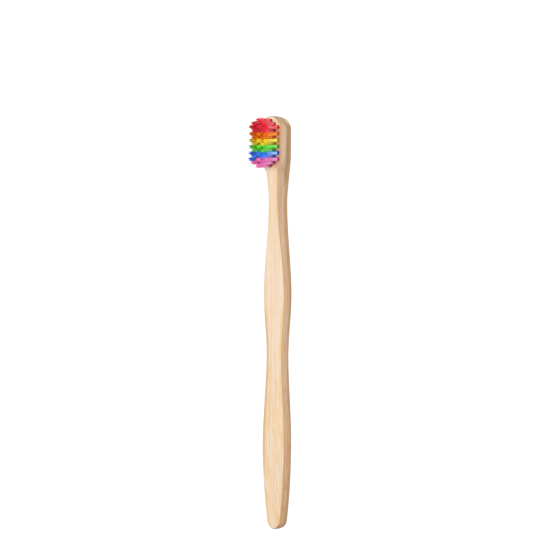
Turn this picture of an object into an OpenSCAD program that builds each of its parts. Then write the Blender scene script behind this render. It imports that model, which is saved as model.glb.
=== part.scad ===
// Manual toothbrush: a one-piece bamboo handle and head, 34 nylon tufts, and the flat metal
// anchor that holds each folded tuft in its blind hole.
// The brush lies on its flat back with the bristles up. +X runs along it towards the head,
// +Y across it, and the origin is under its middle, on the surface that it lies on.

/* [Length] */
// Overall length, from the tip of the head to the end of the handle
brush_len = 190; // [180:1:200]
// Length of the rounded end of the head
head_round_len = 6.5; // [6:0.1:8]
// Distance from the tip of the head to where its sides begin to draw in
shoulder_at = 18; // [17.6:0.1:19]
// Distance from the tip of the head to the throat, where the shoulders end
throat_at = 26.5; // [25.5:0.1:28]
// Distance from the tip of the head to the narrowest point of the neck
neck_at = 37.5; // [36:0.5:42]
// Length of the rounded end of the handle
tail_round_len = 3.6; // [3.4:0.1:6]

/* [Width of the front face] */
// Width of the head
head_w = 12.1; // [11.6:0.1:15]
// Width of the front face at the throat
throat_w = 6.3; // [5.6:0.1:8]
// Width of the front face at the narrowest point of the neck
neck_w = 4.9; // [4.4:0.1:7]
// Width of the front face at the upper swell of the grip
upper_swell_w = 12; // [10:0.1:14]
// Width of the front face at the waist between the two swells
waist_w = 8.8; // [8:0.1:10]
// Width of the front face at the lower swell of the grip
lower_swell_w = 12.6; // [11:0.1:14]
// Width of the front face where the rounded end begins
tail_w = 7.4; // [7:0.1:9]

/* [Thickness] */
// Thickness of the head, which stays flat under the tufts
head_t = 8.9; // [8:0.1:9.5]
// Thickness at the throat
throat_t = 8.1; // [7.6:0.1:9]
// Thickness of the neck
neck_t = 7.4; // [6.4:0.1:8]
// Thickness at the upper swell
upper_swell_t = 6.3; // [5.6:0.1:8]
// Thickness at the waist
waist_t = 6; // [5.4:0.1:7]
// Thickness at the lower swell
lower_swell_t = 6.2; // [5.6:0.1:7]
// Thickness at the end of the handle
tail_t = 5.8; // [5:0.1:7]

/* [Sides] */
// How far the sides stand out beyond the front face at the throat
throat_flare = 1.85; // [1:0.05:2]
// How far the sides stand out beyond the front face at the neck
neck_flare = 1.15; // [0.8:0.05:1.6]
// How far the sides stand out beyond the front face along the grip
grip_flare = 0.25; // [0:0.05:0.6]
// How far the sides of the head draw in towards the back
head_taper = 0.9; // [0.2:0.05:1.2]
// How far the sides of the neck and grip draw in towards the back
grip_taper = 0.4; // [0.1:0.05:0.6]
// Radius of the edges of the front face
front_edge_r = 0.4; // [0.2:0.05:0.6]
// Radius of the back edges of the head
head_back_r = 1.2; // [0.5:0.1:1.6]
// Radius of the back edges of the grip
grip_back_r = 1.1; // [0.5:0.1:1.3]
// Radius of the back edge round the end of the handle
tail_back_r = 0.5; // [0.3:0.1:0.9]

/* [Tufts] */
// Distance from the tip of the head to the middle of the first hole
first_hole_at = 2; // [1.8:0.05:2.1]
// Distance along the head from one line of holes to the next
line_pitch = 1.455; // [1.4:0.005:1.52]
// Distance from the side of the head to the middle of the outermost holes
side_margin = 1.97; // [1.9:0.01:2.05]
// Diameter of a blind hole
hole_d = 1.7; // [1.5:0.01:1.8]
// Depth of a blind hole
hole_depth = 4; // [3.4:0.1:4.6]
// Length of the bristles above the face of the head
bristle_len = 9.5; // [7:0.1:12]
// How far a tuft's outer strands lean out at their tips
strand_spread = 0.3; // [0:0.01:0.34]

/* [Anchors] */
// Width of an anchor, which bites into the wood on both sides of its hole
anchor_w = 2.1; // [1.9:0.01:2.2]
// Height of an anchor
anchor_h = 1.5; // [1:0.1:1.8]
// Thickness of an anchor
anchor_t = 0.3; // [0.2:0.01:0.4]
// Thickness of the folded bristles under an anchor
fold_t = 0.7; // [0.4:0.1:1]
// Angle of the anchors to the length of the brush
anchor_turn = 35; // [0:5:45]

/* [Hidden] */
// Places of the two swells and the waist, as shares of the length from the neck to the end
upper_share = 0.295;
waist_share = 0.472;
lower_share = 0.739;
upper_at = neck_at + upper_share * (brush_len - neck_at);
waist_at = neck_at + waist_share * (brush_len - neck_at);
lower_at = neck_at + lower_share * (brush_len - neck_at);
tail_at = brush_len - tail_round_len;
last_line = 14;
last_column = 2;
field_end = first_hole_at + last_line * line_pitch + hole_d / 2;
// Distance across the head from one column of holes to the next
column_pitch = (head_w / 2 - side_margin) / last_column;

// Depth of the widest line of the sides below the front face, as shares of the thickness
head_side_share = 0.43;
neck_side_share = 0.36;
grip_side_share = 0.58;

// Tables of [distance from the tip of the head, size there]
front_half = [
    [shoulder_at, head_w / 2],
    [throat_at, throat_w / 2],
    [neck_at, neck_w / 2],
    [upper_at, upper_swell_w / 2],
    [waist_at, waist_w / 2],
    [lower_at, lower_swell_w / 2],
];
flare = [
    [shoulder_at, 0],
    [throat_at, throat_flare],
    [neck_at, neck_flare],
    [upper_at, grip_flare],
];
thickness = [
    [field_end, head_t],
    [throat_at, throat_t],
    [neck_at, neck_t],
    [upper_at, upper_swell_t],
    [waist_at, waist_t],
    [lower_at, lower_swell_t],
    [brush_len, tail_t],
];
side_share = [
    [shoulder_at, head_side_share],
    [throat_at, neck_side_share],
    [neck_at, neck_side_share],
    [upper_at, grip_side_share],
];
taper = [
    [shoulder_at, head_taper],
    [neck_at, grip_taper],
];
back_r = [
    [shoulder_at, head_back_r],
    [neck_at, grip_back_r],
    [lower_at, grip_back_r],
    [tail_at, tail_back_r],
];

// Steps of the outline round each end and in each stretch, and of the rounded edges
end_steps = 10;
stretch_steps = 9;
front_edge_steps = 3;
back_edge_steps = 5;

// Gap all round a piece that is packed or driven into another
fit_gap = 0.02;
// How far a cut runs past the face that it opens
overrun = 0.5;
// Width of a strand, corner to corner, as a share of its hole
strand_share = 0.165;
// How far strands start inside the packed root of their tuft
strand_root = 0.3;
// How far the packed root stands above the face of the head
root_rise = 0.15;
// Strands in each ring of a tuft, and the radius of that ring as a share of the tuft's radius
ring_strands = [1, 4, 8];
ring_radius_shares = [0, 0.39, 0.77];
round_fn = 48;

wood = "burlywood";
metal = "gainsboro";
// Colour of each line of tufts, from the tip of the head
line_colours = [
    "red", "red", "red", "red", "orange", "orange", "yellow", "yellow",
    "green", "green", "blue", "blue", "pink", "pink", "pink",
];
// One tuft at the edge of the field, [line, column], is the colour of the line before it
odd_tuft = [12, 2];

function tuft_colour(line, column) =
    line_colours[[line, column] == odd_tuft ? line - 1 : line];

// Every tuft as [line, column, colour]. Lines and columns are staggered, and the field's
// corners are cut off by lines that grow by one column at a time.
TUFTS = [
    for (line = [0:last_line])
        let (reach = min(line, last_line - line, last_column))
            for (column = [-reach:reach])
                if ((line + column) % 2 == 0)
                    [line, column, tuft_colour(line, column)]
];

function two_digits(n) = str(n < 10 ? "0" : "", n);
function tuft_name(i) = str("tuft_", two_digits(i + 1), "_", TUFTS[i][2]);

// Slope of a table from one entry to the next, and the slope that a smooth curve takes at an
// entry: level at the ends and at every high or low, so that the curve never overshoots
function secant(table, i) =
    (table[i + 1][1] - table[i][1]) / (table[i + 1][0] - table[i][0]);
function slope(table, i) =
    i == 0 || i == len(table) - 1 ? 0
    : let (before = secant(table, i - 1), after = secant(table, i))
        before * after <= 0 ? 0 : 2 * before * after / (before + after);

// The size in a table at a distance from the tip, on the smooth curve through its entries
function sized(table, at, i = 0) =
    at <= table[0][0] ? table[0][1]
    : i >= len(table) - 1 ? table[i][1]
    : at >= table[i + 1][0] ? sized(table, at, i + 1)
    : let (run = table[i + 1][0] - table[i][0], t = (at - table[i][0]) / run)
        table[i][1] * (1 - t) * (1 - t) * (1 + 2 * t)
        + table[i + 1][1] * t * t * (3 - 2 * t)
        + slope(table, i) * run * t * (1 - t) * (1 - t)
        - slope(table, i + 1) * run * t * t * (1 - t);

// Half the width of the front face: the table, with a parabola from the lower swell on
function face_half(at) =
    at <= lower_at ? sized(front_half, at)
    : let (t = (at - lower_at) / (tail_at - lower_at))
        (lower_swell_w + (tail_w - lower_swell_w) * t * t) / 2;

// Half the width over the sides, drawn in to nothing round each end
function half_at(at) =
    let (
        head_run = max(0, 1 - at / head_round_len),
        tail_run = max(0, (at - tail_at) / tail_round_len)
    ) (face_half(at) + sized(flare, at))
        * sqrt(max(0, (1 - head_run * head_run) * (1 - tail_run * tail_run)));

// The right-hand half of the outline, from the tip of the head to the end of the handle,
// as [distance from the tip, half width]
function stretch(from, to) = [for (i = [1:stretch_steps]) from + (to - from) * i / stretch_steps];
outline = [
    for (at = concat(
            [for (i = [0:end_steps]) head_round_len * (1 - cos(90 * i / end_steps))],
            [shoulder_at],
            stretch(shoulder_at, throat_at),
            stretch(throat_at, neck_at),
            stretch(neck_at, upper_at),
            stretch(upper_at, waist_at),
            stretch(waist_at, lower_at),
            stretch(lower_at, tail_at),
            [for (i = [1:end_steps]) tail_at + tail_round_len * sin(90 * i / end_steps)]))
        [at, half_at(at)]
];
last_point = len(outline) - 1;

// Unit vector into the wood at a point of the outline
function inward(i) =
    i == 0 ? [1, 0]
    : i == last_point ? [-1, 0]
    : let (run = outline[i + 1] - outline[i - 1])
        [run.y, -run.x] / norm(run);

// The edge of the section at a point of the outline, as [how far in, height]: from the back
// face round the back edge, out to the widest line, in to the front face and round its edge
function section(i) =
    let (
        at = outline[i].x,
        r = sized(back_r, at),
        foot = sized(taper, at),
        lip = sized(flare, at),
        t = sized(thickness, at)
    ) concat(
        [for (k = [0:back_edge_steps])
            let (turn = 90 * k / back_edge_steps)
                [foot + r * (1 - sin(turn)), r * (1 - cos(turn))]],
        [[0, t * (1 - sized(side_share, at))]],
        [for (k = [0:front_edge_steps])
            let (turn = 90 * k / front_edge_steps)
                [lip + front_edge_r * (1 - cos(turn)), t - front_edge_r * (1 - sin(turn))]]
    );
levels = back_edge_steps + front_edge_steps + 3;

// A point of the handle's surface in the brush's own frame
function surface_point(i, level, side) =
    let (
        edge = section(i)[level],
        p = outline[i] + inward(i) * edge[0]
    ) [brush_len / 2 - p.x, side * p.y, edge[1]];

ring_size = 2 * last_point;
function ring(level) = concat(
    [for (i = [0:last_point]) surface_point(i, level, 1)],
    [for (i = [last_point - 1:-1:1]) surface_point(i, level, -1)]
);
// Number of a point in a ring: the outline's point i on the +Y side, or on the other
function right(i) = i;
function left(i) = i == 0 || i == last_point ? i : ring_size - i;

// Triangles of the face that spans from the right of a ring to its left
function across(first, up) = [
    for (i = [0:last_point - 1])
        let (
            a = first + right(i), b = first + right(i + 1),
            c = first + left(i + 1), d = first + left(i)
        )
            for (face = [if (i < last_point - 1) [a, c, b], if (i > 0) [a, d, c]])
                up ? face : [face[2], face[1], face[0]]
];

// Triangles of the band between one ring and the next
function band(level) = [
    for (k = [0:ring_size - 1])
        let (
            next = (k + 1) % ring_size,
            a = level * ring_size + k, b = level * ring_size + next,
            c = a + ring_size, d = b + ring_size
        )
            for (face = [[a, d, b], [a, c, d]]) face
];

module handle_blank() {
    polyhedron(
        points = [for (level = [0:levels - 1]) each ring(level)],
        faces = concat(
            across(0, false),
            [for (level = [0:levels - 2]) each band(level)],
            across((levels - 1) * ring_size, true)
        )
    );
}

// Moves to the mouth of a tuft's hole
module at_hole(tuft) {
    translate([
        brush_len / 2 - first_hole_at - tuft[0] * line_pitch,
        tuft[1] * column_pitch,
        head_t,
    ]) children();
}

// One anchor, or with a gap the space that it takes in the wood or the tuft
module anchor_plate(gap = 0) {
    translate([0, 0, -hole_depth + fold_t + anchor_h / 2])
        rotate([0, 0, anchor_turn])
            cube([anchor_w, anchor_t, anchor_h] + 2 * gap * [1, 1, 1], center = true);
}

module handle() {
    color(wood) difference() {
        handle_blank();
        for (tuft = TUFTS) at_hole(tuft) {
            translate([0, 0, -hole_depth])
                cylinder(h = hole_depth + overrun, d = hole_d, $fn = round_fn);
            anchor_plate(fit_gap);
        }
    }
}

module anchors() {
    color(metal) for (tuft = TUFTS) at_hole(tuft) anchor_plate();
}

// The strands of a tuft: straight four-sided bars in rings, that lean out towards their tips
module strands() {
    tuft_r = hole_d / 2;
    for (r = [0:len(ring_strands) - 1])
        for (k = [0:ring_strands[r] - 1])
            rotate([0, 0, 360 * k / ring_strands[r]])
                translate([tuft_r * ring_radius_shares[r], 0, root_rise - strand_root])
                    rotate([0, atan(strand_spread * ring_radius_shares[r] / bristle_len), 0])
                        cylinder(h = bristle_len - root_rise + strand_root, d = strand_share * hole_d, $fn = 4);
}

// A tuft: bristles folded in two round their anchor and packed into the hole
module tuft(colour) {
    color(colour) union() {
        difference() {
            translate([0, 0, -hole_depth + fit_gap])
                cylinder(h = hole_depth - fit_gap + root_rise, d = hole_d - 2 * fit_gap, $fn = round_fn);
            anchor_plate(fit_gap);
        }
        strands();
    }
}

handle();
anchors();
for (i = [0:len(TUFTS) - 1])
    at_hole(TUFTS[i]) tuft(TUFTS[i][2]);
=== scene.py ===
import math
import random

import bmesh
import bpy
from mathutils import Matrix, Vector


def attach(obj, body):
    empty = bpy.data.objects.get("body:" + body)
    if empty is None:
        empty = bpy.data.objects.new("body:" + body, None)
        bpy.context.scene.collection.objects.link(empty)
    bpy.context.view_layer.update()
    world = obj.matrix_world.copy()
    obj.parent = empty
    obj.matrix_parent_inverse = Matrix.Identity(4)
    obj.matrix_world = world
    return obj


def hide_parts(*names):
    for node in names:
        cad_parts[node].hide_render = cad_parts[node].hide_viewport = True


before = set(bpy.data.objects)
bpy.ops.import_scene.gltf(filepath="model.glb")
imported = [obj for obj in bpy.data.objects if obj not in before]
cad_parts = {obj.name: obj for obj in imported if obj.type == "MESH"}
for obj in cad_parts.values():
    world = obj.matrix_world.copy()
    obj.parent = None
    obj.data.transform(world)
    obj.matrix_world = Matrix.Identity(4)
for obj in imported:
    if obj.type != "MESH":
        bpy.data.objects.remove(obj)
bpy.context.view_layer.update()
mm = 0.001

# Camera
# The brush is seen from its right, 39 degrees off its face and a little towards the head, through
# a long lens. The picture is turned so that the head is up.
off_face = math.radians(39)
towards_head = math.radians(3.68)
picture_roll = math.radians(0.292)
camera_distance = 1600 * mm
pixels_per_mm = 2.1774
picture_width = 540
sensor_width = 36
picture_centre = Vector((24.32, 4.46, 3.61)) * mm

sight = Vector((
    math.sin(towards_head),
    -math.sin(off_face) * math.cos(towards_head),
    math.cos(off_face) * math.cos(towards_head),
))
right = Vector((1, 0, 0)).cross(sight).normalized()
up = sight.cross(right)
turn = Matrix((right, up, sight)).transposed() @ Matrix.Rotation(picture_roll, 3, 'Z')

bpy.ops.object.camera_add()
camera = bpy.context.object
camera.name = "camera"
camera.matrix_world = Matrix.Translation(picture_centre + sight * camera_distance) @ turn.to_4x4()
camera.data.sensor_width = sensor_width
camera.data.lens = pixels_per_mm * camera_distance / mm * sensor_width / picture_width
camera.data.clip_start = 0.01
camera.data.clip_end = 20
bpy.context.scene.camera = camera

# Handle
# One piece of bamboo, cut to its outline from a flat board, shaped along its sides, sanded and
# oiled. The head keeps a flat face, drilled with a blind hole for each tuft.
brush_len = 190
head_round_len = 6.5
tail_round_len = 3.6
shoulder_at, throat_at, neck_at = 18, 26.5, 37.5
upper_at, waist_at, lower_at = (
    neck_at + share * (brush_len - neck_at) for share in (0.295, 0.472, 0.739))
tail_at = brush_len - tail_round_len
head_t = 8.9
tail_w, lower_w = 7.4, 12.6
# The holes of the head: 15 lines of two or three, staggered, and fewer at both ends
first_hole_at, line_pitch, column_pitch = 2, 1.455, 2.04
last_line, last_column = 14, 2
hole_depth, hole_radius = 4, 0.85
field_end = first_hole_at + last_line * line_pitch + hole_radius
# Sizes in mm, each as (distance from the tip of the head, size there)
front_half_widths = (
    (shoulder_at, 6.05), (throat_at, 3.15), (neck_at, 2.45),
    (upper_at, 6), (waist_at, 4.4), (lower_at, lower_w / 2),
)
flares = ((shoulder_at, 0), (throat_at, 1.85), (neck_at, 1.15), (upper_at, 0.25))
thicknesses = (
    (field_end, head_t), (throat_at, 8.1), (neck_at, 7.4), (upper_at, 6.3),
    (waist_at, 6), (lower_at, 6.2), (brush_len, 5.8),
)
ridge_depth_shares = ((shoulder_at, 0.43), (throat_at, 0.36), (neck_at, 0.36), (upper_at, 0.58))
back_tapers = ((shoulder_at, 0.9), (neck_at, 0.4))
back_edge_radii = ((shoulder_at, 1.2), (neck_at, 1.1), (lower_at, 1.1), (tail_at, 0.5))
widest_edge_radius = 1.2
front_edge_radius = 0.4
ridge_radius = 0.3


def size_at(sizes, at):
    """The size at a distance from the tip, on a smooth curve through the listed sizes that never
    overshoots them."""
    if at <= sizes[0][0]:
        return sizes[0][1]
    if at >= sizes[-1][0]:
        return sizes[-1][1]
    steep = [(b[1] - a[1]) / (b[0] - a[0]) for a, b in zip(sizes, sizes[1:])]
    slopes = [0]
    for before, after in zip(steep, steep[1:]):
        slopes.append(0 if before * after <= 0 else 2 * before * after / (before + after))
    slopes.append(0)
    i = next(k for k in range(len(steep)) if at < sizes[k + 1][0])
    run = sizes[i + 1][0] - sizes[i][0]
    t = (at - sizes[i][0]) / run
    return (
        sizes[i][1] * (1 - t) ** 2 * (1 + 2 * t)
        + sizes[i + 1][1] * t * t * (3 - 2 * t)
        + slopes[i] * run * t * (1 - t) ** 2
        - slopes[i + 1] * run * t * t * (1 - t)
    )


def half_width(at):
    """Half the width over the sides, which is drawn in round both ends."""
    if at <= lower_at:
        face = size_at(front_half_widths, at)
    else:
        t = (at - lower_at) / (tail_at - lower_at)
        face = (lower_w + (tail_w - lower_w) * t * t) / 2
    head_run = max(0, 1 - at / head_round_len)
    tail_run = max(0, (at - tail_at) / tail_round_len)
    rounding = math.sqrt(max(0, (1 - head_run ** 2) * (1 - tail_run ** 2)))
    return (face + size_at(flares, at)) * rounding


def ridge_height(at):
    """Height above the back of the line along which the sides are widest."""
    return size_at(thicknesses, at) * (1 - size_at(ridge_depth_shares, at))


def evenly(first, last, steps):
    """Places at even steps after the first one, up to and with the last."""
    return [first + (last - first) * i / steps for i in range(1, steps + 1)]


# Stations along the outline, closer where it bends
end_steps = 12
end_turns = [math.radians(90 * i / end_steps) for i in range(1, end_steps + 1)]
stations = [head_round_len * (1 - math.cos(a)) for a in end_turns]
for first, last, steps in (
    (head_round_len, shoulder_at, 4), (shoulder_at, throat_at, 10), (throat_at, neck_at, 9),
    (neck_at, upper_at, 18), (upper_at, waist_at, 12), (waist_at, lower_at, 16),
    (lower_at, tail_at, 14),
):
    stations += evenly(first, last, steps)
stations += [tail_at + tail_round_len * math.cos(a) for a in reversed(end_turns[:-1])]
outline = [(at, half_width(at)) for at in stations]


def inward(i):
    """Unit vector into the wood from a station of the outline, as (along, across)."""
    before = outline[i - 1] if i > 0 else (outline[0][0], -outline[0][1])
    after = outline[i + 1] if i < len(outline) - 1 else (outline[-1][0], -outline[-1][1])
    run = Vector((after[0] - before[0], after[1] - before[1])).normalized()
    return run.y, -run.x


def open_for_edit(piece):
    """Edit mode on one piece alone, by its points."""
    bpy.ops.object.select_all(action='DESELECT')
    piece.select_set(True)
    bpy.context.view_layer.objects.active = piece
    bpy.ops.object.mode_set(mode='EDIT')
    bpy.ops.mesh.select_mode(type='VERT')


def select_points(piece, numbers):
    """Selects these points of the piece in edit mode, and no others."""
    bpy.ops.mesh.select_all(action='DESELECT')
    mesh = bmesh.from_edit_mesh(piece.data)
    mesh.verts.ensure_lookup_table()
    for number in numbers:
        mesh.verts[number].select = True
    mesh.select_flush_mode()
    bmesh.update_edit_mesh(piece.data)


def cut_across(place, normal):
    """A cut through the whole piece that adds points and takes nothing away."""
    bpy.ops.mesh.select_all(action='SELECT')
    bpy.ops.mesh.bisect(plane_co=place, plane_no=normal, threshold=0.0001 * mm)


# The board, cut across at each station and once along its sides
bpy.ops.object.select_all(action='DESELECT')
bpy.ops.mesh.primitive_cube_add(size=1, location=(0, 0, head_t * mm / 2))
handle = bpy.context.object
handle.name = "bamboo_handle"
handle.scale = (brush_len * mm, 2 * half_width(shoulder_at) * mm, head_t * mm)
bpy.ops.object.transform_apply(location=True, rotation=True, scale=True)
open_for_edit(handle)
cut_places = [(brush_len / 2 - at) * mm for at in stations]
cut_places[0], cut_places[-1] = brush_len / 2 * mm, -brush_len / 2 * mm
for place in cut_places[1:-1]:
    cut_across((place, 0, 0), (1, 0, 0))
rough_heights = (0, ridge_height(0) * mm, head_t * mm)
cut_across((0, 0, rough_heights[1]), (0, 0, 1))

# Each row of each slice is moved to its place: the back, the ridge of the sides, and the front
mesh = bmesh.from_edit_mesh(handle.data)
slices = {}
for point in mesh.verts:
    station = min(range(len(stations)), key=lambda i: abs(point.co.x - cut_places[i]))
    row = min(range(3), key=lambda k: abs(point.co.z - rough_heights[k]))
    slices.setdefault((station, row), []).append(point.index)
for (station, row), points in slices.items():
    at, half = outline[station]
    inset = (size_at(back_tapers, at), 0, size_at(flares, at))[row]
    height = (0, ridge_height(at), size_at(thicknesses, at))[row]
    along, across = inward(station)
    new_x = (brush_len / 2 - at - along * inset) * mm
    if station in (0, len(stations) - 1):
        new_x = cut_places[station] - along * inset * mm
    new_half = (half + across * inset) * mm
    select_points(handle, points)
    mesh = bmesh.from_edit_mesh(handle.data)
    mesh.verts.ensure_lookup_table()
    point = mesh.verts[points[0]].co
    bpy.ops.transform.resize(value=(1, new_half / abs(point.y), 1), center_override=(0, 0, 0))
    mesh = bmesh.from_edit_mesh(handle.data)
    mesh.verts.ensure_lookup_table()
    point = mesh.verts[points[0]].co
    bpy.ops.transform.translate(value=(new_x - point.x, 0, height * mm - point.z))

# Rounded edges: each edge along the outline gets its own share of the widest radius
bpy.ops.object.mode_set(mode='OBJECT')
row_of = {number: (station, row) for (station, row), points in slices.items() for number in points}
edge_share = handle.data.attributes.new("bevel_weight_edge", 'FLOAT', 'EDGE')
for edge in handle.data.edges:
    (station_a, row_a), (station_b, row_b) = row_of[edge.vertices[0]], row_of[edge.vertices[1]]
    at_an_end = station_a == station_b and station_a in (0, len(stations) - 1)
    if row_a == row_b and (station_a != station_b or at_an_end):
        at = stations[station_a]
        radius = (size_at(back_edge_radii, at), ridge_radius, front_edge_radius)[row_a]
        edge_share.data[edge.index].value = radius / widest_edge_radius
bpy.ops.object.modifier_add(type='BEVEL')
rounding = handle.modifiers[-1]
rounding.limit_method = 'WEIGHT'
rounding.offset_type = 'OFFSET'
rounding.width = widest_edge_radius * mm
rounding.segments = 4
rounding.loop_slide = False
rounding.use_clamp_overlap = False
bpy.ops.object.modifier_apply(modifier=rounding.name)

# Blind holes, drilled with one long drill that is set down at every hole, and the slots that the
# anchors bite into the wood
drill_above = 1
anchor_turn = math.radians(35)
# Height of the lower edge of an anchor over the face of the head
anchor_foot = -3.3
anchor_height = 1.5
slot_size = (2.14, 0.34, 1.54)
line_colours = (
    ("red",) * 4 + ("orange",) * 2 + ("yellow",) * 2 + ("green",) * 2 + ("blue",) * 2
    + ("pink",) * 3)
# One tuft at the edge, given by its line and column, has the colour of the line before it
odd_tuft = (12, 2)
tufts = []
for line, colour in enumerate(line_colours):
    reach = min(line, last_line - line, last_column)
    for column in range(-reach, reach + 1):
        if (line + column) % 2 == 0:
            dye = line_colours[line - 1] if (line, column) == odd_tuft else colour
            place = Vector((
                brush_len / 2 - first_hole_at - line * line_pitch, column * column_pitch, head_t))
            tufts.append((place * mm, dye))


def cut_all(piece, cutter):
    """Sets the cutter down at every hole and takes it out of the piece. The first cutter, which is
    still at the middle of the brush, is thrown away before that."""
    open_for_edit(cutter)
    bpy.ops.mesh.select_all(action='SELECT')
    before = Vector((0, 0, 0))
    for place, _ in tufts:
        bpy.ops.mesh.duplicate_move(TRANSFORM_OT_translate={"value": place - before})
        before = place
    mesh = bmesh.from_edit_mesh(cutter.data)
    for point in mesh.verts:
        point.select = point.co.x < (brush_len / 2 - neck_at) * mm
    mesh.select_flush_mode()
    bmesh.update_edit_mesh(cutter.data)
    bpy.ops.mesh.delete(type='VERT')
    bpy.ops.object.mode_set(mode='OBJECT')
    bpy.ops.object.select_all(action='DESELECT')
    bpy.context.view_layer.objects.active = piece
    piece.select_set(True)
    bpy.ops.object.modifier_add(type='BOOLEAN')
    cut = piece.modifiers[-1]
    cut.operation = 'DIFFERENCE'
    cut.solver = 'EXACT'
    cut.object = cutter
    bpy.ops.object.modifier_apply(modifier=cut.name)
    bpy.data.objects.remove(cutter)


bpy.ops.mesh.primitive_cylinder_add(
    vertices=32, radius=hole_radius * mm, depth=(drill_above + hole_depth) * mm,
    location=(0, 0, (drill_above - hole_depth) / 2 * mm))
drill = bpy.context.object
bpy.ops.object.transform_apply(location=True, rotation=True, scale=True)
cut_all(handle, drill)

# The drill leaves a slightly rounded mouth. Points this close, in mm, count as level with the
# face or on the rim of a hole.
mouth_radius = 0.07
close = 0.001
open_for_edit(handle)
bpy.ops.mesh.select_mode(type='EDGE')
bpy.ops.mesh.select_all(action='DESELECT')
mesh = bmesh.from_edit_mesh(handle.data)
for edge in mesh.edges:
    ends = [point.co for point in edge.verts]
    if min(end.z for end in ends) < (head_t - close) * mm:
        continue
    for place, _ in tufts:
        if all(abs((end - place).xy.length - hole_radius * mm) < close * mm for end in ends):
            edge.select = True
mesh.select_flush_mode()
bmesh.update_edit_mesh(handle.data)
bpy.ops.mesh.bevel(offset=mouth_radius * mm, segments=2, affect='EDGES', loop_slide=False)
bpy.ops.object.mode_set(mode='OBJECT')

bpy.ops.mesh.primitive_cube_add(
    size=1, location=(0, 0, (anchor_foot + anchor_height / 2) * mm), rotation=(0, 0, anchor_turn))
slot_cutter = bpy.context.object
slot_cutter.scale = Vector(slot_size) * mm
bpy.ops.object.transform_apply(location=True, rotation=True, scale=True)
cut_all(handle, slot_cutter)

bpy.ops.object.shade_smooth_by_angle(angle=math.radians(40))
bpy.ops.object.modifier_add(type='WEIGHTED_NORMAL')
handle.modifiers[-1].keep_sharp = True
bpy.ops.object.modifier_apply(modifier=handle.modifiers[-1].name)

# How far each point of the wood is behind the front face and behind the ridge of the sides, and
# half the width of the front face there, in mm
for name in ("behind_front", "behind_ridge", "front_half"):
    handle.data.attributes.new(name, 'FLOAT', 'POINT')
marks = handle.data.attributes
for point in handle.data.vertices:
    at = brush_len / 2 - point.co.x / mm
    marks["behind_front"].data[point.index].value = size_at(thicknesses, at) - point.co.z / mm
    marks["behind_ridge"].data[point.index].value = ridge_height(at) - point.co.z / mm
    marks["front_half"].data[point.index].value = half_width(at) - size_at(flares, at)


def tint(red, green, blue):
    """A colour from 0 to 255, as the eye sees it, turned into light."""
    return tuple(
        (c / 255 / 12.92 if c <= 10 else ((c / 255 + 0.055) / 1.055) ** 2.4)
        for c in (red, green, blue)) + (1,)


def add_node(tree, kind, sockets=None, **settings):
    """A node of a material, with its settings, and with values or links on its sockets."""
    node = tree.nodes.new(kind)
    for name, value in settings.items():
        setattr(node, name, value)
    for name, value in (sockets or {}).items():
        if isinstance(value, bpy.types.NodeSocket):
            tree.links.new(value, node.inputs[name])
        else:
            node.inputs[name].default_value = value
    return node


def mix(tree, share, below, above):
    """The first colour where the share is 0, turning into the second where it is 1."""
    node = add_node(tree, "ShaderNodeMix", {0: share, 6: below, 7: above}, data_type='RGBA')
    return node.outputs[2]


def sum_up(tree, how, *values):
    """The result of a sum on values or shares."""
    node = add_node(tree, "ShaderNodeMath", dict(enumerate(values)), operation=how)
    return node.outputs[0]


def times(tree, share, *others):
    """The product of shares, for a layer that shows only where they all do."""
    for other in others:
        share = sum_up(tree, 'MULTIPLY', share, other)
    return share


def spread(tree, share, at_none, at_full):
    """Goes evenly from one share to another as the given one goes from 0 to 1."""
    return sum_up(tree, 'MULTIPLY_ADD', share, at_full - at_none, at_none)


def fade(tree, value, low, high, at_low=0, at_high=1):
    """Turns smoothly from one share to another as the value goes from low to high."""
    node = add_node(
        tree, "ShaderNodeMapRange",
        {"Value": value, "From Min": low, "From Max": high, "To Min": at_low, "To Max": at_high},
        interpolation_type='SMOOTHSTEP')
    return node.outputs[0]


def stretched(tree, scale):
    """Places on the piece, scaled unevenly so that a pattern runs along one way."""
    places = add_node(tree, "ShaderNodeTexCoord").outputs["Object"]
    return add_node(tree, "ShaderNodeMapping", {"Vector": places, "Scale": scale}).outputs[0]


def noise(tree, scale, detail, roughness=0.5):
    """Clouds of shares from 0 to 1, with so many along each axis in a metre."""
    node = add_node(tree, "ShaderNodeTexNoise", {
        "Vector": stretched(tree, scale), "Scale": 1, "Detail": detail, "Roughness": roughness})
    return node.outputs[0]


def mark(tree, name):
    """The number that the points of the piece hold under this name."""
    return add_node(tree, "ShaderNodeAttribute", attribute_name=name).outputs["Fac"]


def apart(tree, source):
    """Place or facing of a surface point, as its three numbers."""
    vector = add_node(tree, "ShaderNodeTexCoord").outputs[source]
    return add_node(tree, "ShaderNodeSeparateXYZ", {0: vector}).outputs


def layered(tree, colour, *layers):
    """A colour with others laid over it in turn, each as (share, colour)."""
    for share, layer in layers:
        colour = mix(tree, share, colour, layer)
    return colour


def start_material(name):
    """A new material, with its node tree and its shader."""
    material = bpy.data.materials.new(name)
    material.use_nodes = True
    return material, material.node_tree, material.node_tree.nodes["Principled BSDF"]


def dress(piece, material):
    """Gives the piece this material and no other."""
    piece.data.materials.clear()
    piece.data.materials.append(material)


# Oiled bamboo: pale ground with fine straw-coloured fibres along its length, a browner grain on
# the sides, and darker wood behind the ridge, partly painted shade. Its edges are burnished and
# darkened by painted shade, the front has golden rims, and a painted shadow of the tufts lies
# round the holes.
bamboo, wood, surface = start_material("oiled_bamboo")
to_tip, _, to_front = apart(wood, "Normal")
along, aside, _ = apart(wood, "Object")
behind_front = mark(wood, "behind_front")
behind_ridge = mark(wood, "behind_ridge")
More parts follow.
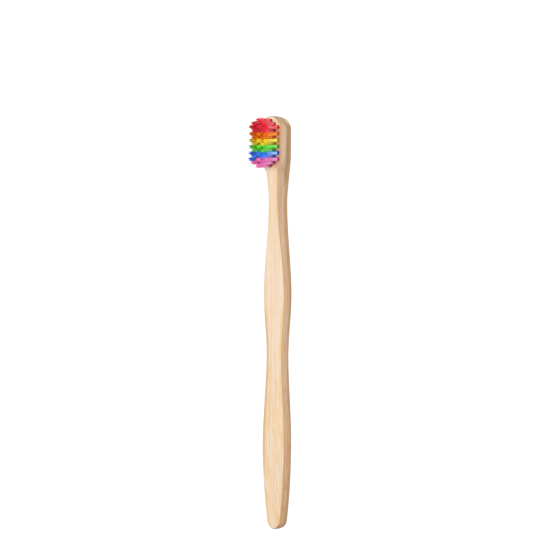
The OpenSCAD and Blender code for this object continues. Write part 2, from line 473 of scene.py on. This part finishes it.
# How far a point of the front is in from its edge, in mm
rim = sum_up(
    wood, 'SUBTRACT', mark(wood, "front_half"),
    times(wood, sum_up(wood, 'ABSOLUTE', aside), 1 / mm))
fine = noise(wood, (34, 1500, 1500), 3, 0.6)
broad = fade(wood, noise(wood, (14, 420, 420), 2), 0.35, 0.68)
bundles = add_node(wood, "ShaderNodeTexVoronoi", {
    "Vector": stretched(wood, (11, 1050, 1050)), "Scale": 1}, feature='F1').outputs["Distance"]
bundle = fade(wood, bundles, 0.42, 0.16)
patches = noise(wood, (60, 260, 260), 1)
# Short dashes of cut fibres, most of them on the grip
dash = times(
    wood, fade(wood, noise(wood, (115, 2700, 2700), 1), 0.51, 0.6),
    fade(wood, along, 20 * mm, -80 * mm, 0.25, 1))

# The front, paler at the end of the grip, and at the tip of the head by a painted highlight
front = layered(
    wood, mix(wood, broad, tint(236, 216, 197), tint(230, 204, 170)),
    (fade(wood, fine, 0.46, 0.68, 0, 0.7), tint(236, 198, 148)),
    (times(wood, bundle, 0.4), tint(229, 184, 130)),
    (fade(wood, along, -50 * mm, -85 * mm, 0, 0.6), tint(230, 210, 191)),
    (dash, tint(228, 189, 131)),
    (fade(wood, along, 88.5 * mm, 91 * mm, 0, 0.4), tint(246, 236, 214)))

# The sides before their ridge, and browner wood with a ragged border behind it, partly the wood's
# own tone and partly painted shade where the sides face down. Where the sides lean to the front
# they get painted shade, and behind the ridge the end of the head has a golden painted highlight.
side = layered(
    wood, mix(wood, broad, tint(212, 186, 162), tint(192, 160, 128)),
    (fade(wood, fine, 0.46, 0.66, 0, 0.75), tint(185, 148, 113)),
    (times(wood, dash, 0.85), tint(186, 136, 88)),
    (fade(wood, along, -10 * mm, -40 * mm, 0, 0.3), tint(172, 132, 86)))
head_back = mix(wood, fade(wood, fine, 0.42, 0.62), tint(180, 142, 100), tint(146, 109, 70))
# Painted highlight on the end of the head, behind the ridge
head_end_highlight = times(
    wood, fade(wood, to_tip, 0.25, 0.75), fade(wood, behind_ridge, 0.2, 2.4),
    fade(wood, fine, 0.35, 0.6, 0.6, 1))
behind = layered(
    wood, mix(wood, broad, tint(203, 168, 128), tint(177, 140, 97)),
    (fade(wood, fine, 0.46, 0.66, 0, 0.7), tint(165, 127, 84)),
    (fade(wood, along, 62 * mm, 72 * mm, 0, 0.75), head_back),
    (fade(wood, along, 0, -30 * mm, 0, 0.6), tint(172, 136, 98)),
    (head_end_highlight, tint(255, 224, 160)))
ragged = sum_up(wood, 'ADD', behind_ridge, spread(wood, patches, -0.85, 0.85))
shaded = mix(wood, fade(wood, along, 0, -35 * mm), tint(166, 138, 114), tint(163, 127, 90))
sides = layered(
    wood, side,
    (fade(wood, ragged, -0.12, 0.18), behind),
    (fade(wood, to_front, 0.08, 0.4, 0, 0.7), shaded))

# What lies over all of these: golden rims of the front, a browner far edge of the grip, the
# painted shadow of the tufts round the holes, burnished edges with painted shade, the plain back
# and the dark end of the grip
flat = fade(wood, to_front, 0.8, 0.97)
tip_rim = times(wood, fade(wood, rim, 1.8, 0.8), fade(wood, along, 85 * mm, 89 * mm), flat)
grip_rim = times(
    wood, fade(wood, rim, 1.7, 0.6), fade(wood, patches, 0.36, 0.54),
    fade(wood, along, 24 * mm, 0), flat, 0.9)
far_grip_edge = times(
    wood, fade(wood, along, 9 * mm, 1 * mm), fade(wood, along, -74 * mm, -60 * mm),
    fade(wood, aside, 2 * mm, 3 * mm), fade(wood, rim, 1.7, 0.8))
# Painted shadow of the tufts on the front round the holes
tuft_shadow = times(
    wood, fade(wood, along, 69.5 * mm, 73.5 * mm), fade(wood, along, 92 * mm, 88.5 * mm),
    flat, 0.85)
# The burnished edges carry painted shade too, except on the far edge, which stays pale as a
# painted highlight
far_edge = times(wood, fade(wood, aside, 0, 2 * mm), fade(wood, along, -20 * mm, 10 * mm))
burnish_and_shade = times(
    wood, fade(wood, behind_front, 0.01, 0.08), fade(wood, behind_front, 1.15, 0.45),
    spread(wood, far_edge, 0.9, 0.05), fade(wood, to_front, 0.9, 0.78),
    fade(wood, along, 62 * mm, 68 * mm, 0.95, 0.85))
back = mix(wood, fade(wood, fine, 0.45, 0.7), tint(238, 206, 166), tint(222, 184, 138))
end_grain = times(
    wood, fade(wood, to_tip, -0.3, -0.75),
    spread(wood, fade(wood, bundles, 0.45, 0.2), 0.45, 0.95))
colour = layered(
    wood, sides,
    (flat, front),
    (tip_rim, tint(226, 190, 138)),
    (grip_rim, tint(229, 189, 126)),
    (far_grip_edge, tint(212, 172, 124)),
    (tuft_shadow, tint(195, 146, 113)),
    (burnish_and_shade, tint(194, 148, 102)),
    (fade(wood, to_front, -0.8, -0.97), back),
    (end_grain, tint(158, 88, 38)))
wood.links.new(colour, surface.inputs["Base Color"])
wood.links.new(fade(wood, fine, 0.3, 0.75, 0.46, 0.6), surface.inputs["Roughness"])
relief = sum_up(wood, 'SUBTRACT', fine, times(wood, bundle, 0.35))
relief = add_node(
    wood, "ShaderNodeBump", {"Strength": 0.35, "Distance": 0.06 * mm, "Height": relief})
wood.links.new(relief.outputs[0], surface.inputs["Normal"])
surface.inputs["Specular IOR Level"].default_value = 0.4

dress(handle, bamboo)
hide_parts("handle")
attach(handle, "root")

# Tufts
# Each is a bundle of nylon bristles, folded in two round a flat metal anchor and driven with it
# into a hole of the head. The bristles fan out towards their cut ends, which are rounded.
bristle_radius = 0.1
bristle_top = 9.45
# The share of its thickness that a bristle has left at its very end, and the share of its depth
# that the loop has left under the anchor, which presses it flatter
end_share = 0.65
loop_share = 0.8
# Over this height, well clear of the anchor, the two legs of a bristle stand closer together
mouth_reach = -0.5
# Rows of bristles on each side of the anchor: distance from it in the wood and at the mouth of
# the hole, and places along the anchor
bristle_rows = (
    (0.26, 0.1, (-0.68, -0.51, -0.34, -0.17, 0, 0.17, 0.34, 0.51, 0.68)),
    (0.425, 0.3, (-0.595, -0.425, -0.255, -0.085, 0.085, 0.255, 0.425, 0.595)),
    (0.59, 0.5, (-0.45, -0.31, -0.16, 0, 0.16, 0.31, 0.45)),
    (0.735, 0.67, (-0.09, 0.09)),
)
# Heights of the rings of points of a leg
leg_heights = (-1.7, -0.3, 4.4, 7.8, 9.36, bristle_top)
# A leg bends at two heights, each time by a share of its lean. The leans spread this far along and
# across the brush, and the shortest leg falls short of the others by this much.
bend_heights = (4, 7)
bend_shares = (0.45, 0.55)
lean_along, lean_across = 0.12, 0.24
most_short = 0.35
# How much wider the tuft gets at each bend, along the brush and across it
fan_shares = ((1.08, 1.24), (1.08, 1.36))


def fold_bristle(in_wood, at_mouth, along):
    """One thread: a leg, a loop under the anchor, and a second leg, each with a rounded end."""
    bpy.ops.object.select_all(action='DESELECT')
    bpy.ops.mesh.primitive_cylinder_add(
        vertices=6, radius=bristle_radius * mm, depth=(bristle_top - anchor_foot) * mm,
        location=(along * mm, in_wood * mm, (bristle_top + anchor_foot) / 2 * mm))
    thread = bpy.context.object
    bpy.ops.object.transform_apply(location=True, rotation=True, scale=True)
    open_for_edit(thread)
    for height in leg_heights[:-1]:
        cut_across((0, 0, height * mm), (0, 0, 1))
    bpy.ops.mesh.select_mode(type='FACE')
    bpy.ops.mesh.select_all(action='DESELECT')
    mesh = bmesh.from_edit_mesh(thread.data)
    for face in mesh.faces:
        face.select = face.calc_center_median().z < (anchor_foot + close) * mm
    mesh.select_flush_mode()
    bmesh.update_edit_mesh(thread.data)
    bpy.ops.mesh.spin(steps=4, angle=math.pi, center=(0, 0, anchor_foot * mm), axis=(1, 0, 0))
    reached = anchor_foot
    for height in leg_heights:
        bpy.ops.mesh.extrude_region_move(
            TRANSFORM_OT_translate={"value": (0, 0, (height - reached) * mm)})
        reached = height
    bpy.ops.mesh.select_mode(type='VERT')
    mesh = bmesh.from_edit_mesh(thread.data)
    points = [(p.index, p.co.copy()) for p in mesh.verts]
    below = [n for n, p in points if p.z < (anchor_foot - close) * mm]
    select_points(thread, below)
    bpy.ops.transform.resize(
        value=(1, 1, loop_share), center_override=(0, 0, anchor_foot * mm))
    for side in (1, -1):
        leg = [(n, p) for n, p in points if p.y * side > 0]
        select_points(thread, [n for n, p in leg if p.z > mouth_reach * mm])
        bpy.ops.transform.translate(value=(0, side * (at_mouth - in_wood) * mm, 0))
        select_points(thread, [n for n, p in leg if p.z > (bristle_top - close) * mm])
        bpy.ops.transform.resize(
            value=(end_share, end_share, 1),
            center_override=(along * mm, side * at_mouth * mm, bristle_top * mm))
    bpy.ops.object.mode_set(mode='OBJECT')
    return thread


def bundle_bristles(seed):
    """A tuft standing on the origin, with each leg bent a little its own way. It fans out, most of
    all across the brush, so that it meets its neighbours at the tips."""
    chance = random.Random(seed)
    rows = []
    for in_wood, at_mouth, places in bristle_rows:
        row = fold_bristle(in_wood, at_mouth, places[0])
        open_for_edit(row)
        bpy.ops.mesh.select_all(action='SELECT')
        for before, after in zip(places, places[1:]):
            bpy.ops.mesh.duplicate_move(
                TRANSFORM_OT_translate={"value": ((after - before) * mm, 0, 0)})
        mesh = bmesh.from_edit_mesh(row.data)
        mesh.verts.ensure_lookup_table()
        points = [p.co.copy() for p in mesh.verts]
        per_thread = len(points) // len(places)
        for thread in range(len(places)):
            numbers = range(thread * per_thread, (thread + 1) * per_thread)
            for side in (1, -1):
                lean = Vector((
                    chance.gauss(0, lean_along), chance.gauss(0, lean_across), 0)) * mm
                lean.rotate(Matrix.Rotation(-anchor_turn, 3, 'Z'))
                short = Vector((0, 0, -chance.uniform(0, most_short))) * mm
                leg = [n for n in numbers if points[n].y * side > 0]
                select_points(row, [n for n in leg if points[n].z > bend_heights[0] * mm])
                bpy.ops.transform.translate(value=lean * bend_shares[0])
                select_points(row, [n for n in leg if points[n].z > bend_heights[1] * mm])
                bpy.ops.transform.translate(value=lean * bend_shares[1] + short)
        bpy.ops.object.mode_set(mode='OBJECT')
        rows.append(row)
    bpy.ops.object.select_all(action='DESELECT')
    for row in rows:
        row.select_set(True)
    bpy.context.view_layer.objects.active = rows[0]
    bpy.ops.object.join()
    bundle = bpy.context.object
    bundle.rotation_euler = (0, 0, anchor_turn)
    bpy.ops.object.transform_apply(location=True, rotation=True, scale=True)
    open_for_edit(bundle)
    mesh = bmesh.from_edit_mesh(bundle.data)
    heights = [(p.index, p.co.z) for p in mesh.verts]
    for bend, (fan_along, fan_across) in zip(bend_heights, fan_shares):
        select_points(bundle, [n for n, z in heights if z > bend * mm])
        bpy.ops.transform.resize(value=(fan_along, fan_across, 1), center_override=(0, 0, 0))
    bpy.ops.object.mode_set(mode='OBJECT')
    # The six sides of a bristle turn by 60 degrees at each edge, and shade as one round side
    bpy.ops.object.shade_smooth_by_angle(angle=math.radians(62))
    return bundle


# Bristle look, for all six colours: streaks of painted highlight along each bristle, painted shade
# at the root and where the bristles crowd together, and a mottled tip on the far side of the brush
look = bpy.data.node_groups.new("bristle_look", 'ShaderNodeTree')
for name in ("Colour", "Highlight", "Root"):
    look.interface.new_socket(name, in_out='INPUT', socket_type='NodeSocketColor')
look.interface.new_socket("Colour", in_out='OUTPUT', socket_type='NodeSocketColor')
look.interface.new_socket("Roughness", in_out='OUTPUT', socket_type='NodeSocketFloat')
given = add_node(look, "NodeGroupInput").outputs
along, aside, height = apart(look, "Object")
streaks = noise(look, (3200, 3200, 110), 2)
mottle = noise(look, (1500, 1500, 500), 2)
# The painted highlight is stronger on the tufts at the edges of the head, and in the middle of
# each tuft
outer = sum_up(
    look, 'MAXIMUM', fade(look, sum_up(look, 'ABSOLUTE', aside), 2.95 * mm, 3.15 * mm),
    fade(look, along, 90.6 * mm, 91 * mm))
off_axis = sum_up(look, 'ABSOLUTE', sum_up(look, 'ADD', mark(look, "off_axis"), 0.1))
core = fade(look, off_axis, 0.85, 0.25)
lower = times(
    look, fade(look, height, 9.8 * mm, 11.2 * mm), fade(look, height, 18.3 * mm, 13.6 * mm),
    spread(look, outer, 0.3, 0.8), spread(look, core, 0.2, 1))
# Higher up, painted highlight where the shafts between the tips lie in shade
upper = times(
    look, fade(look, height, 12.5 * mm, 14.5 * mm),
    fade(look, height, 17.6 * mm, 16.8 * mm, 0, 0.55))
painted_highlight = sum_up(look, 'ADD', sum_up(look, 'MAXIMUM', lower, upper), 0.05)
tip = times(
    look, fade(look, height, 14 * mm, 17.6 * mm), fade(look, mottle, 0.35, 0.6),
    fade(look, aside, 0, 2.8 * mm), 0.7)
# Painted shade at every root, and over the lower parts of the inner tufts
crowd_shade = times(look, fade(look, height, 13 * mm, 10.5 * mm), spread(look, outer, 0.9, 0))
root = sum_up(look, 'MAXIMUM', crowd_shade, fade(look, height, 10.6 * mm, 9.7 * mm))
colour = layered(
    look, given["Colour"],
    (times(look, fade(look, streaks, 0.3, 0.6), painted_highlight), given["Highlight"]),
    (tip, given["Root"]),
    (fade(look, height, 17.2 * mm, 17.9 * mm, 0, 0.04), given["Root"]),
    (times(look, root, 0.9), given["Root"]))
sent = add_node(look, "NodeGroupOutput")
look.links.new(colour, sent.inputs["Colour"])
look.links.new(fade(look, mottle, 0.35, 0.7, 0.24, 0.4), sent.inputs["Roughness"])

# The colour of each dye, of its painted highlight, and the dark colour of its painted root shade
# and mottled tip
nylon_colours = {
    "red": (tint(255, 26, 60), tint(255, 164, 170), tint(150, 28, 0)),
    "orange": (tint(255, 130, 0), tint(255, 186, 100), tint(165, 60, 0)),
    "yellow": (tint(255, 224, 34), tint(255, 248, 150), tint(150, 108, 0)),
    "green": (tint(106, 232, 64), tint(174, 240, 144), tint(20, 104, 8)),
    "blue": (tint(60, 150, 255), tint(190, 224, 255), tint(0, 0, 176)),
    "pink": (tint(255, 126, 206), tint(255, 210, 240), tint(140, 8, 60)),
}
nylon = {}
for name, (colour, painted_highlight, root) in nylon_colours.items():
    dyed, tree, surface = start_material(f"{name}_nylon")
    shown = add_node(tree, "ShaderNodeGroup", node_tree=look)
    for socket, value in (("Colour", colour), ("Highlight", painted_highlight), ("Root", root)):
        shown.inputs[socket].default_value = value
    tree.links.new(shown.outputs["Colour"], surface.inputs["Base Color"])
    tree.links.new(shown.outputs["Roughness"], surface.inputs["Roughness"])
    surface.inputs["IOR"].default_value = 1.53
    surface.inputs["Specular IOR Level"].default_value = 0.22
    nylon[name] = dyed

# Four tufts are bundled, and each hole gets a copy of one. The first tufts lean off the tip of the
# head, the others a little towards the grip, and those beside the middle of the brush outwards.
# The leans are in degrees.
tip_leans = (1.6, 1.4, 1.4, 1, 1, 1)
grip_lean = -0.8
outward_lean = 3.5
most_astray = 0.8
patterns = [bundle_bristles(seed) for seed in range(4)]
chance = random.Random(11)
for number, (place, colour) in enumerate(tufts):
    bpy.ops.object.select_all(action='DESELECT')
    pattern = patterns[number % len(patterns)]
    pattern.select_set(True)
    bpy.context.view_layer.objects.active = pattern
    bpy.ops.object.duplicate(linked=False)
    tuft = bpy.context.object
    node = f"tuft_{number + 1:02d}_{colour}"
    tuft.name = f"bristles_{number + 1:02d}_{colour}"
    tuft.location = place
    half_turn = math.pi * chance.randrange(2)
    lean_x, lean_y = (chance.uniform(-most_astray, most_astray) for _ in range(2))
    lean_y += tip_leans[number] if number < len(tip_leans) else grip_lean
    if 0 < abs(place.y) < 1.5 * column_pitch * mm:
        lean_x -= math.copysign(outward_lean, place.y)
    tuft.rotation_mode = 'ZYX'
    tuft.rotation_euler = (math.radians(lean_x), math.radians(lean_y), half_turn)
    bpy.ops.object.transform_apply(location=True, rotation=True, scale=True)
    off_axis = tuft.data.attributes.new("off_axis", 'FLOAT', 'POINT')
    for point in tuft.data.vertices:
        off_axis.data[point.index].value = (point.co.x - place.x) / mm
    dress(tuft, nylon[colour])
    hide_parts(node)
    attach(tuft, "root")
for pattern in patterns:
    bpy.data.objects.remove(pattern)

# Anchors
# Small flat brass plates cut from strip, one in the fold of each tuft, deep in its hole. They
# keep their CAD shape and get a drawn brass finish with marks from the cutter.
brass, tree, surface = start_material("anchor_brass")
drawn = noise(tree, (700, 700, 9000), 3)
tarnish = noise(tree, (900, 900, 900), 2)
colour = mix(tree, fade(tree, tarnish, 0.4, 0.7), tint(226, 202, 140), tint(184, 148, 88))
tree.links.new(colour, surface.inputs["Base Color"])
tree.links.new(fade(tree, drawn, 0.35, 0.7, 0.24, 0.42), surface.inputs["Roughness"])
relief = add_node(
    tree, "ShaderNodeBump", {"Strength": 0.3, "Distance": 0.01 * mm, "Height": drawn})
tree.links.new(relief.outputs[0], surface.inputs["Normal"])
surface.inputs["Metallic"].default_value = 1
dress(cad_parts["anchors"], brass)

# Studio
# A pale floor and white surroundings, lit softly from the side that the photograph shows, and a
# little from behind. The floor looks white where no shadow falls on it.
floor_size = 8
floor_gap = 0.02 * mm
floor_glow = 0.72
sky_light = 0.32


def seen_plainly(tree):
    """1 where the camera sees the thing, also in gloss or glass, and 0 where it lights others."""
    ray = add_node(tree, "ShaderNodeLightPath").outputs
    seen = sum_up(tree, 'MAXIMUM', ray["Is Camera Ray"], ray["Is Glossy Ray"])
    return sum_up(tree, 'MAXIMUM', seen, ray["Is Transmission Ray"])


bpy.ops.mesh.primitive_plane_add(size=floor_size, location=(0, 0, -floor_gap))
floor = bpy.context.object
floor.name = "floor"
paper, tree, surface = start_material("white_paper")
surface.inputs["Base Color"].default_value = (0.4, 0.4, 0.4, 1)
surface.inputs["Roughness"].default_value = 0.9
surface.inputs["Specular IOR Level"].default_value = 0
tree.links.new(times(tree, seen_plainly(tree), floor_glow), surface.inputs["Emission Strength"])
surface.inputs["Emission Color"].default_value = (1, 1, 1, 1)
floor.data.materials.append(paper)

world = bpy.data.worlds.new("studio")
bpy.context.scene.world = world
world.use_nodes = True
tree = world.node_tree
sky = tree.nodes["Background"]
sky.inputs["Color"].default_value = (1, 1, 1, 1)
tree.links.new(fade(tree, seen_plainly(tree), 0, 1, sky_light, 1), sky.inputs["Strength"])


def add_lamp(name, direction, distance, size, level):
    """A square soft lamp that lights a surface facing it to the given share of full light."""
    direction = Vector(direction).normalized()
    bpy.ops.object.light_add(type='AREA', location=direction * distance)
    lamp = bpy.context.object
    lamp.name = name
    lamp.rotation_euler = direction.to_track_quat('Z', 'Y').to_euler()
    lamp.data.shape = 'SQUARE'
    lamp.data.size = size
    lamp.data.energy = level * math.pi ** 2 * distance ** 2


# Direction, distance, size and level of each lamp
add_lamp("key", (0.1, -0.55, 0.83), 1, 0.5, 0.74)
add_lamp("fill", (0.1, -0.95, 0.3), 1, 0.5, 0.34)
add_lamp("back", (0.1, 0.9, 0.35), 1, 0.8, 0.35)

bpy.context.scene.view_settings.view_transform = 'Standard'
